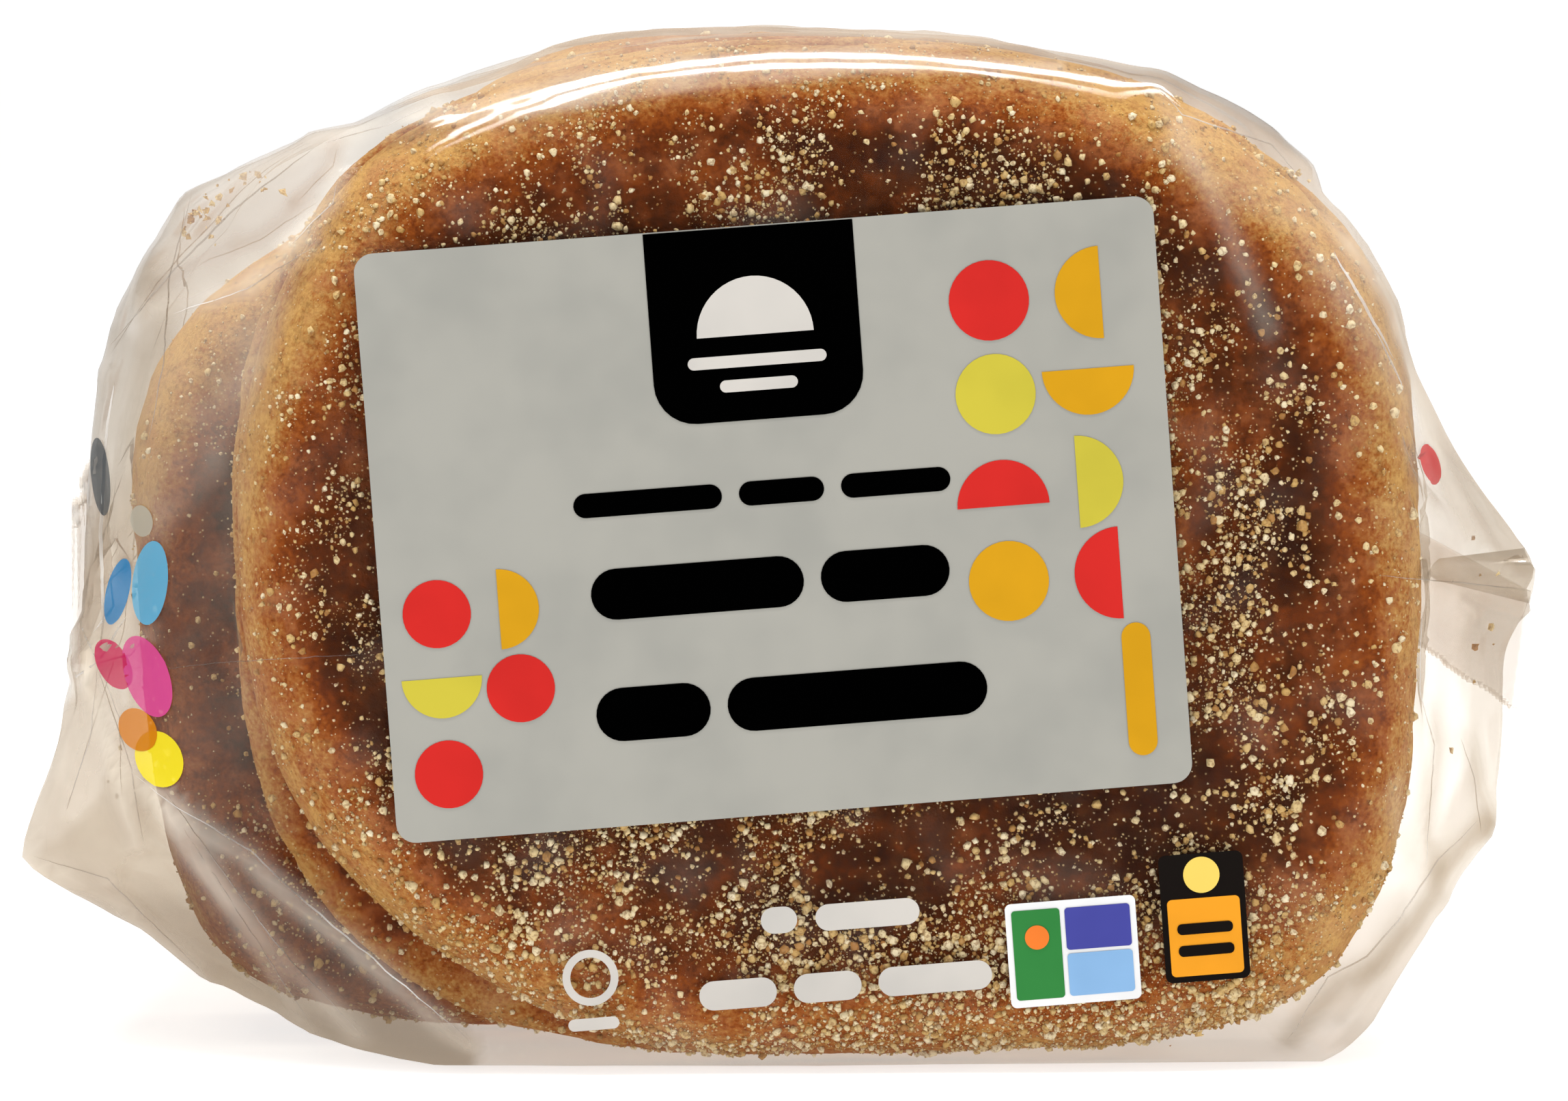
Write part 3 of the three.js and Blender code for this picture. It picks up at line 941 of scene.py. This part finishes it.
def filmMesh():
    points, faces = filmRings()
    points = pulledTaut(points)
    mesh = meshFrom("film", points, faces)
    rearShare = between(points[:, 1], *film["frontDepth"])
    shares = {"front": 1 - rearShare, "rear": rearShare}
    free = between(gapsToMuffins(points), *film["freeGap"])
    lift, glint = numpy.zeros(len(points)), numpy.zeros(len(points))
    haze, dull = numpy.full(len(points), film["haze"]), numpy.full(len(points), film["dull"])
    shiny = numpy.ones(len(points))
    # Along folds and in places, the film's milkiness paints a sheen and its darker tint paints shade
    for side, share in shares.items():
        shown = shownAt(points, side)
        for line, height, reach, width, bright, glow, shade in folds:
            away = distanceToLine(shown, line)
            near = share * numpy.exp(-((away / film["glowWidth"]) ** 2))
            lift += share * height * mm * numpy.clip(1 - away / reach, 0, 1)
            haze += near * glow
            dull += near * shade
        for corners, milky, paintedShade, soft, calm in places:
            away = distanceToLine(shown, corners + corners[:1])
            away = numpy.where(insideShape(shown, corners), 0, away)
            here = share * numpy.clip(1 - away / soft, 0, 1)
            haze += here * milky
            dull += here * paintedShade
            shiny *= 1 - here * calm
        for line, reach, strength in glosses:
            glint += share * strength * numpy.exp(-((distanceToLine(shown, line) / reach) ** 2))

    # wrinkles where the film is free of the muffins, and streaks of haze
    for i, (x, y, z) in enumerate(points):
        spot = Vector((x, y * 0.35, z))
        wrinkle = 0.6 - abs(cloud(spot, 9 * mm, 2.0)) * 2.4 + 0.5 * cloud(spot, 3.5 * mm, 4.0)
        lift[i] += film["wrinkle"] * wrinkle * free[i]
        spot = Vector((x, y * 0.5, z))
        streak = cloud(spot, 9 * mm, 7.0) + 0.5 * cloud(spot, 2.5 * mm, 8.0)
        glint[i] *= max(0.15, 0.9 + 1.1 * cloud(spot, 5 * mm, 9.0))
        haze[i] *= max(0.2, 1 + 0.5 * streak)
        haze[i] += film["veil"] * max(0, cloud(spot, 4.5 * mm, 12.0) - 0.12) * (1 - free[i])
        dull[i] += (0.2 * streak + 0.04) * free[i]
    offFloor = between(points[:, 2], 0.5 * mm, 3.5 * mm)
    moved = points + normalsOf(mesh) * (lift * offFloor)[:, None]
    moveTo(mesh, moved)

    # the film lies over the muffins, so it is pushed clear of them and evened out
    for turn in range(3):
        push = numpy.clip(film["clearance"] - gapsToMuffins(moved), 0, film["mostPush"])
        grid = push[1:-1].reshape(-1, film["stations"])
        beside = numpy.maximum(*neighbours(grid, 1)) + numpy.maximum(*neighbours(grid, 0))
        push[1:-1] = numpy.maximum(grid, 0.35 * beside).ravel()
        moved = moved + normalsOf(mesh) * push[:, None]
        moveTo(mesh, moved)
    moved[:, 2] = numpy.maximum(moved[:, 2], 0.05 * mm)
    moveTo(mesh, moved)
    giveValues(mesh, "haze", numpy.clip(haze, 0, 1))
    giveValues(mesh, "dull", numpy.clip(dull, 0, film["mostDull"]))
    giveValues(mesh, "shiny", shiny)
    giveValues(mesh, "glint", glint)
    return mesh


bagFilm = link("film", filmMesh(), clearFilm)
filmTree = joinedTree([bagFilm])
report("film", [bagFilm])


# A point on the film where a place shows, lifted off it towards the outside, or None past its edge
def onFilm(x, z, side, lift):
    eye, planeY = eyes[side]
    sight = Vector((middleX + x * mm, planeY, middleZ + z * mm)) - eye
    hit, normal, face, distance = filmTree.ray_cast(eye, sight.normalized(), 2.0)
    return None if hit is None else hit + normal * lift


def facedOut(mesh):
    shell = bmesh.new()
    shell.from_mesh(mesh)
    bmesh.ops.recalc_face_normals(shell, faces=shell.faces)
    shell.to_mesh(mesh)
    shell.free()


# The three corners of a crease's ridge at each step along a fold. It tapers out at both ends
def creaseRings(spots, width, side):
    line = [Vector(spot) for spot in spots]
    samples = []
    for start, end in zip(line, line[1:]):
        count = max(2, round((end - start).length / 0.7))
        samples += [start.lerp(end, i / count) for i in range(count)]
    samples.append(line[-1])
    last = len(samples) - 1
    rings = []
    for i, spot in enumerate(samples):
        across = (samples[min(last, i + 1)] - samples[max(0, i - 1)]).normalized().orthogonal()
        taper = 0.06 + 0.94 * abs(math.sin(math.pi * i / last)) ** 0.6
        half = width / 4 * taper
        wander = 0.12 * noise.noise(Vector((spot.x, spot.y, 3.0)) * 0.7)
        corners = [(wander - half, 0.0), (wander, 0.55 * half * mm), (wander + half, 0.0)]
        ring = [onFilm(*(spot + across * off), side, lift + 0.02 * mm) for off, lift in corners]
        if None not in ring:
            rings.append(ring)
    return rings


# Each crease is painted from grey shade to a white glint, and the glint wavers along it
def creasePiece():
    points, faces, paintedGlints = [], [], []
    for side in eyes:
        for line, height, reach, width, bright, glow, shade in folds:
            rings = creaseRings(line, width, side) if width else []
            if len(rings) < 3:
                continue
            base = len(points)
            end = base + 3 * (len(rings) - 1)
            for number, ring in enumerate(rings):
                points += ring
                glint = 0.45 + 0.9 * noise.noise(Vector((number * 0.11, base * 0.37, 1.0)))
                paintedGlints += [bright * min(1, max(0.1, glint))] * 3
            for a in range(base, end, 3):
                b = a + 3
                faces += [(a, b, b + 1, a + 1), (a + 1, b + 1, b + 2, a + 2), (a + 2, b + 2, b, a)]
            faces += [(base, base + 1, base + 2), (end + 2, end + 1, end)]
    mesh = meshFrom("creases", points, faces, False, bright=paintedGlints)
    facedOut(mesh)
    return link("creases", mesh, creaseGlintAndShade)


creases = creasePiece()
report("creases", [creases])

# Print on the film. Sizes are in millimetres. A level is one layer of ink nearer the eye
label = dict(
    middle=(-4.5, 2.5),
    tiltDeg=4.2,
    size=(65.6, 48.4),
    cornerRadius=1.6,
    over=0.12 * mm,
    layer=0.05 * mm,
    spacing=1.1,
    inks=dict(
        paper=(160, 158, 150),
        black=(1, 1, 1),
        white=(196, 191, 184),
        mustard=(202, 148, 28),
        red=(197, 43, 39),
        lime=(191, 178, 62),
        card=(226, 226, 226),
        leaf=(52, 124, 62),
        violet=(70, 72, 150),
        sky=(132, 172, 212),
        orange=(226, 120, 50),
        night=(24, 20, 18),
        amber=(226, 150, 40),
        straw=(226, 196, 96),
    ),
)


def roundedOutline(width, height, radius, steps=7):
    radius = min(radius, width / 2, height / 2)
    outline = []
    for corner, (signX, signZ) in enumerate(((1, 1), (-1, 1), (-1, -1), (1, -1))):
        for step in range(steps + 1):
            angle = math.radians(90 * corner + 90 * step / steps)
            x = signX * (width / 2 - radius) + radius * math.cos(angle)
            outline.append(Vector((x, signZ * (height / 2 - radius) + radius * math.sin(angle))))
    return outline


def discOutline(width, height=None, steps=36):
    height = height or width
    return [Vector((width / 2 * math.cos(a), height / 2 * math.sin(a))) for a in turnsOf(steps)]


def halfDiscOutline(width, turnDeg=0, steps=24):
    angles = [math.pi * i / steps for i in range(steps + 1)]
    shape = [Vector((width / 2 * math.cos(a), width / 2 * math.sin(a) - width / 5)) for a in angles]
    return [Matrix.Rotation(math.radians(turnDeg), 2) @ spot for spot in shape]


# Cuts long edges so that a flat shape can follow the film
def divided(outline):
    spots = []
    for start, end in zip(outline, outline[1:] + outline[:1]):
        count = max(1, math.ceil((end - start).length / label["spacing"]))
        spots += [start.lerp(end, i / count) for i in range(count)]
    return spots


# Fills an outline with evenly spaced triangles
def filled(edge):
    spacing = label["spacing"]
    steps = math.ceil(max(max(abs(spot.x), abs(spot.y)) for spot in edge) / spacing)
    marks = [i * spacing for i in range(-steps, steps + 1)]
    grid = numpy.array([(x, z) for x in marks for z in marks])
    corners = [tuple(spot) for spot in edge]
    clear = insideShape(grid, corners) & (distanceToLine(grid, corners + corners[:1]) > 0.4 * spacing)
    inner = [Vector(spot) for spot in grid[clear]]
    made = geometry.delaunay_2d_cdt(edge + inner, [], [list(range(len(edge)))], 1, 1e-5)
    return made[0], made[2]


# Shapes of ink on the film. Each has its outline, ink, place and level, and some a turn and a hollow share.
# Their places are measured along the sheet's own edges, from its middle
def printPiece(name, shapes, material, middle=(0, 0), tiltDeg=0):
    tilt = Matrix.Rotation(math.radians(tiltDeg), 2)
    points, faces, colours = [], [], []
    for outline, colour, at, level, *more in shapes:
        turnDeg, hollow = more or (0, 0)
        turned = Matrix.Rotation(math.radians(turnDeg), 2)
        edge = divided(outline)
        count = len(edge)
        if hollow:
            flat = edge + [spot * hollow for spot in edge]
            parts = [(k, (k + 1) % count, count + (k + 1) % count, count + k) for k in range(count)]
        else:
            flat, parts = filled(edge)
        faces += [tuple(len(points) + i for i in part) for part in parts]
        for spot in flat:
            shown = Vector(middle) + tilt @ (Vector(at) + turned @ spot)
            points.append(onFilm(*shown, "front", label["over"] + level * label["layer"]))
            colours += srgb(*label["inks"].get(colour, colour))
    mesh = meshFrom(name, points, faces)
    mesh.color_attributes.new("ink", "FLOAT_COLOR", "POINT").data.foreach_set("color", colours)
    return link(name, mesh, material)


def labelPrint():
    shapes = [(roundedOutline(*label["size"], label["cornerRadius"]), "paper", (0, 0), 0)]

    # the black tab that hangs from the top edge, with a plain mark on it
    tab = [Vector((8.6, 7.9)), Vector((-8.6, 7.9))] + roundedOutline(17.2, 15.8, 3.4)[16:]
    shapes += [
        (tab, "black", (-0.5, 16.2), 1),
        (halfDiscOutline(9.6), "white", (-0.5, 17.2), 2),
        (roundedOutline(11.4, 1.0, 0.5), "white", (-0.5, 13.2), 2),
        (roundedOutline(6.4, 1.0, 0.5), "white", (-0.5, 11.2), 2),
    ]

    # bars in place of words: how high, how thick, from where, and how long each is
    words = (
        (2.3, 2.0, -16.4, (12.2, 7.0, 9.0)),
        (-5.1, 4.2, -15.5, (17.5, 10.6)),
        (-15.0, 4.4, -15.8, (9.4, 21.4)),
    )
    for z, height, x, lengths in words:
        for length in lengths:
            shapes.append((roundedOutline(length, height, height / 2), "black", (x + length / 2, z), 1))
            x += length + 1.4

    # discs and half discs in two columns at the right, with a bar, and a smaller group at the lower left
    inks = ("red", "mustard", "mustard", "lime", "red", "red", "mustard", "lime")
    spots = ((0, 0), (1, 0), (1, 1), (0, 1), (0, 2), (1, 3), (0, 3), (1, 2))
    for i, (colour, (column, line)) in enumerate(zip(inks, spots)):
        shape = discOutline(6.6) if i % 3 == 0 else halfDiscOutline(7.6, 90 * (i % 4))
        shapes.append((shape, colour, (18.8 + 7.7 * column, 16.6 - 7.7 * line), 1))
    shapes.append((roundedOutline(2.4, 11.0, 1.2), "mustard", (28.9, -16.2), 1))
    inks = ("red", "mustard", "red", "lime", "red")
    spots = ((0, 0), (1, 0), (1, 1), (0, 1), (0, 2))
    for i, (colour, (column, line)) in enumerate(zip(inks, spots)):
        shape = halfDiscOutline(6.6, 180 + 90 * (i % 3)) if i % 2 else discOutline(5.6)
        shapes.append((shape, colour, (-28.2 + 6.4 * column, -5.6 - 6.6 * line), 1))
    return printPiece("label", shapes, ink, label["middle"], label["tiltDeg"])


# Under the label: plain bars, and two small blocks of colour. Each shape's width and height, its corner or
# 0 for a disc, its middle, its ink and its level
lowerShapes = [
    (3.0, 2.2, 1.2, (-6.4, -30.1), "white", 0),
    (8.6, 2.2, 1.2, (0.9, -30.2), "white", 0),
    (6.4, 2.4, 1.2, (-10.2, -35.9), "white", 0),
    (5.6, 2.4, 1.2, (-2.8, -35.9), "white", 0),
    (9.4, 2.4, 1.2, (6.1, -35.9), "white", 0),
    (4.2, 1.0, 0.5, (-22.2, -37.4), "white", 0),
    (10.8, 8.6, 0.5, (17.6, -34.6), "card", 0),
    (4.0, 7.4, 0.3, (14.7, -34.6), "leaf", 1),
    (5.4, 3.5, 0.3, (19.8, -32.7), "violet", 1),
    (5.4, 3.5, 0.3, (19.8, -36.5), "sky", 1),
    (2.0, 2.0, 0, (14.7, -33.2), "orange", 2),
    (7.0, 10.6, 0.6, (28.6, -32.6), "night", 0),
    (6.0, 6.4, 0.4, (28.6, -34.2), "amber", 1),
    (3.0, 3.0, 0, (28.6, -29.1), "straw", 1),
    (4.6, 0.9, 0.4, (28.6, -33.5), "night", 2),
    (4.6, 0.9, 0.4, (28.6, -35.3), "night", 2),
]

# Dots of the printer's colours at the pinched left end, and stray patches of print: each one's colour,
# middle, size and turn
edgeDots = [
    ((170, 166, 152), (-56.2, 2.6), (1.8, 2.6), 10),
    ((92, 170, 206), (-55.5, -2.5), (2.9, 7.0), -6),
    ((24, 128, 186), (-58.2, -3.2), (1.9, 5.6), -14),
    ((206, 74, 140), (-55.8, -10.2), (3.6, 7.0), 20),
    ((196, 36, 92), (-58.6, -9.2), (2.6, 4.4), 30),
    ((200, 122, 20), (-56.6, -14.6), (3.0, 3.8), 30),
    ((232, 214, 40), (-54.9, -17.0), (3.8, 4.8), 24),
    ((190, 40, 44), (49.4, 6.9), (1.6, 3.4), 18),
    ((70, 76, 80), (-59.5, 6.2), (1.5, 6.4), 5),
]


def lowerPrint():
    shapes = [(discOutline(4.6), "white", (-22.2, -33.6), 0, 0, 0.72)]
    for width, height, corner, at, colour, level in lowerShapes:
        outline = roundedOutline(width, height, corner) if corner else discOutline(width, height)
        shapes.append((outline, colour, at, level))
    return printPiece("lower_print", shapes, ink, (0, 0), label["tiltDeg"])


def edgePrint():
    shapes = []
    for i, (colour, at, size, turnDeg) in enumerate(edgeDots):
        shapes.append((discOutline(*size), colour, at, i % 2, turnDeg, 0))
    return printPiece("edge_print", shapes, wornInk)


prints = [labelPrint(), lowerPrint(), edgePrint()]
report("print", prints)

# The two end seals, pressed in fine ribs with a notched edge: the right one hangs, the left one stands
seals = dict(
    endGap=12 * mm,
    thickness=0.5 * mm,
    ribPitch=1.3 * mm,
    ribHeight=0.05 * mm,
    swaysPerMetre=45.0,
    teethPerMetre=700,
    steps=(420, 28),
    # where each starts, its lean, its width, and how much it waves and is notched
    right=((59.3, -4.4), 183, 10.3 * mm, 0.5 * mm, 0.5 * mm),
    left=((-62.3, -10.6), -2.5, 13.0 * mm, 0.6 * mm, 1.1 * mm),
)


def sealPiece(side):
    root, leanDeg, width, wave, notch = seals[side]
    sizes = {"Length": bagDepth - 2 * seals["endGap"], "Width": width, "Wave": wave, "Notch": notch}
    sizes |= {"Thickness": seals["thickness"], "Rib pitch": seals["ribPitch"]}
    graph, given = geometryGraph(side + "_seal", sizes)
    columns, rows = seals["steps"]
    inputs = {0: given["Length"], 1: given["Width"], 2: columns, 3: rows}
    grid = graph.node("GeometryNodeMeshGrid", None, inputs)
    where = graph.node("GeometryNodeInputPosition")
    along = graph.node("ShaderNodeSeparateXYZ", None, [where])
    up = along.output("Y")
    tip = (up + given["Width"] * 0.5) / given["Width"]
    ribs = up * (2 * math.pi) / given["Rib pitch"]
    ribs = ribs.calc("SINE", ribs) * seals["ribHeight"]
    noiseInputs = {0: where, 2: seals["swaysPerMetre"], 3: 1.5}
    sway = graph.node("ShaderNodeTexNoise", None, noiseInputs, "Fac") - 0.5
    wave = sway * given["Wave"] * 6 * tip + ribs
    teeth = (along * seals["teethPerMetre"]).calc("PINGPONG", along * seals["teethPerMetre"], 1.0)
    teeth = teeth * given["Notch"] * tip.ramp(0.9, 1.0) * -1
    offset = graph.node("ShaderNodeCombineXYZ", None, [0.0, teeth, wave])
    sheet = graph.node("GeometryNodeSetPosition", None, {0: grid, 3: offset})
    thick = graph.node("GeometryNodeExtrudeMesh", None, {0: sheet, 3: given["Thickness"], 4: False})
    back = graph.node("GeometryNodeFlipFaces", None, [sheet])
    closed = graph.node("GeometryNodeJoinGeometry", None, [[thick, back]])
    closed = graph.node("GeometryNodeMergeByDistance", None, {0: closed, 2: 0.01 * mm})
    piece = grown(side + "_seal", bpy.data.meshes.new("grid"), graph, closed, sizes, sealFilm)
    lean = math.radians(leanDeg)
    rise = Vector((math.sin(lean), 0, math.cos(lean)))
    middle = row["middle"] + Vector((root[0] * mm, 0, root[1] * mm)) + rise * width / 2
    axes = Matrix((Vector((0, 1, 0)), rise, Vector((0, 1, 0)).cross(rise))).transposed().to_4x4()
    piece.data.transform(Matrix.Translation(middle) @ axes)
    piece.data.polygons.foreach_set("use_smooth", [True] * len(piece.data.polygons))
    return piece


sealPieces = [sealPiece("right"), sealPiece("left")]
report("seals", sealPieces)

# Crumbs and loose grits that cling to the film: where, how far they spread, and how many
crumbs = dict(
    seed=14,
    groups=[
        ((56.8, 2.0), (1.6, 3.6), 9),
        ((53.6, -8.0), (2.4, 8.0), 9),
        ((30.5, -39.6), (4.5, 1.6), 26),
        ((-51.5, 27.6), (2.2, 2.0), 34),
        ((-48.0, 30.8), (3.5, 1.4), 22),
        ((-57.4, 0.5), (0.8, 6.0), 7),
        ((-58.6, -19.5), (1.6, 3.4), 4),
        ((39.6, 30.6), (3.4, 1.0), 7),
    ],
    sizes=(0.16 * mm, 0.6 * mm),
    sink=0.45 * mm,
)


def crumbPiece():
    draw = random.Random(crumbs["seed"])
    points, faces, tints = [], [], []
    sides = ((0, 1, 3, 2), (4, 6, 7, 5), (0, 4, 5, 1), (2, 3, 7, 6), (0, 2, 6, 4), (1, 5, 7, 3))
    for (x, z), (spreadX, spreadZ), count in crumbs["groups"]:
        for number in range(count):
            here = (x + draw.gauss(0, spreadX / 2), z + draw.gauss(0, spreadZ / 2))
            middle = onFilm(*here, "front", -crumbs["sink"])
            size = mix(*crumbs["sizes"], draw.random() ** 2)
            tint = 0.6 * draw.random()
            corners = []
            for corner in range(8):
                signs = Vector((corner & 1, corner >> 1 & 1, corner >> 2 & 1)) - Vector((0.5, 0.5, 0.5))
                loose = Vector([draw.uniform(-0.4, 0.4) for axis in range(3)])
                corners.append((signs.normalized() * 0.6 + loose) * size)
            if middle is None:
                continue
            base = len(points)
            points += [middle + corner for corner in corners]
            tints += [tint] * 8
            faces += [tuple(base + i for i in side) for side in sides]
    mesh = meshFrom("crumbs", points, faces, False, tint=tints)
    facedOut(mesh)
    return link("crumbs", mesh, grit)


crumbPieces = [crumbPiece()]
report("crumbs", crumbPieces)

studio = dict(
    floorRadius=9.0,
    bend=1.0,
    bendSteps=8,
    wallHeight=1.6,
    steps=48,
    colour=(0.62, 0.62, 0.62, 1),
    grainColour=(0.6, 0.6, 0.6, 1),
    glow=0.68,
    worldStrength=0.5,
    lights=[
        dict(name="topFront", at=(0, -0.24, 0.9), size=(1.1, 0.1), watts=6.5),
        dict(name="topRear", at=(0, -0.03, 0.9), size=(1.1, 0.1), watts=6.5),
        dict(name="frontLeft", at=(-0.9, -0.9, 0.5), size=(0.7, 0.7), watts=0.8),
        dict(name="frontRight", at=(0.9, -0.9, 0.45), size=(0.7, 0.7), watts=0.8),
    ],
)


# A round floor that turns up into a wall, so that it is one plain pale ground from every side
def covePiece():
    radius, bend, steps = studio["floorRadius"], studio["bend"], studio["steps"]
    profile = [(radius * 0.3, 0), (radius, 0)]
    for i in range(1, studio["bendSteps"] + 1):
        angle = math.pi / 2 * i / studio["bendSteps"]
        profile.append((radius + bend * math.sin(angle), bend * (1 - math.cos(angle))))
    profile.append((radius + bend, studio["wallHeight"]))
    points = [(0, 0, 0)]
    for out, height in profile:
        points += [(out * math.cos(turn), out * math.sin(turn), height) for turn in turnsOf(steps)]
    paint = Paint("cove_paper")
    colour = paint.blend(paint.noise(60 * mm, 1) * 0.1, studio["colour"], studio["grainColour"])
    glow = {"Emission Color": (1, 1, 1, 1), "Emission Strength": studio["glow"]}
    paint.material.cycles.emission_sampling = "NONE"
    mesh = meshFrom("cove", points, ringFaces(len(profile), steps, closed=False))
    return link("cove", mesh, paint.surface(colour, 0.95, 0.0, glow))


def addLight(name, at, size, watts):
    light = bpy.data.lights.new(name, "AREA")
    light.shape = "RECTANGLE"
    light.size, light.size_y = size
    light.energy = watts
    lamp = link(name, light)
    lamp.location = at
    lamp.rotation_euler = (Vector((0, 0, middleZ)) - Vector(at)).to_track_quat("-Z", "Y").to_euler()


def addCamera():
    camera = bpy.data.cameras.new("camera")
    holder = link("camera", camera)
    holder.location = frontEye
    holder.rotation_euler = (-towardsEye).to_track_quat("-Z", "Y").to_euler()
    camera.sensor_width = view["sensor"]
    camera.lens = view["sensor"] * view["distance"] / (view["pixel"] * view["width"])
    camera.clip_start, camera.clip_end = 0.01, 100
    scene.camera = holder


covePiece()
for light in studio["lights"]:
    addLight(**light)
scene.world = bpy.data.worlds.new("studio")
scene.world.use_nodes = True
background = scene.world.node_tree.nodes["Background"]
background.inputs["Color"].default_value = (1, 1, 1, 1)
background.inputs["Strength"].default_value = studio["worldStrength"]
scene.view_settings.view_transform = "Standard"
addCamera()

# the sealed bag's solid stands for its film and for what is in it
for piece in muffins:
    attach(piece, "root")
    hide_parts("muffin_bag")
for piece in gritPieces + crumbPieces:
    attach(piece, "root")
    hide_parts("muffin_bag")
for piece in prints:
    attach(piece, "root")
for piece in sealPieces + [creases, bagFilm]:
    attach(piece, "root")
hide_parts("muffin_bag")
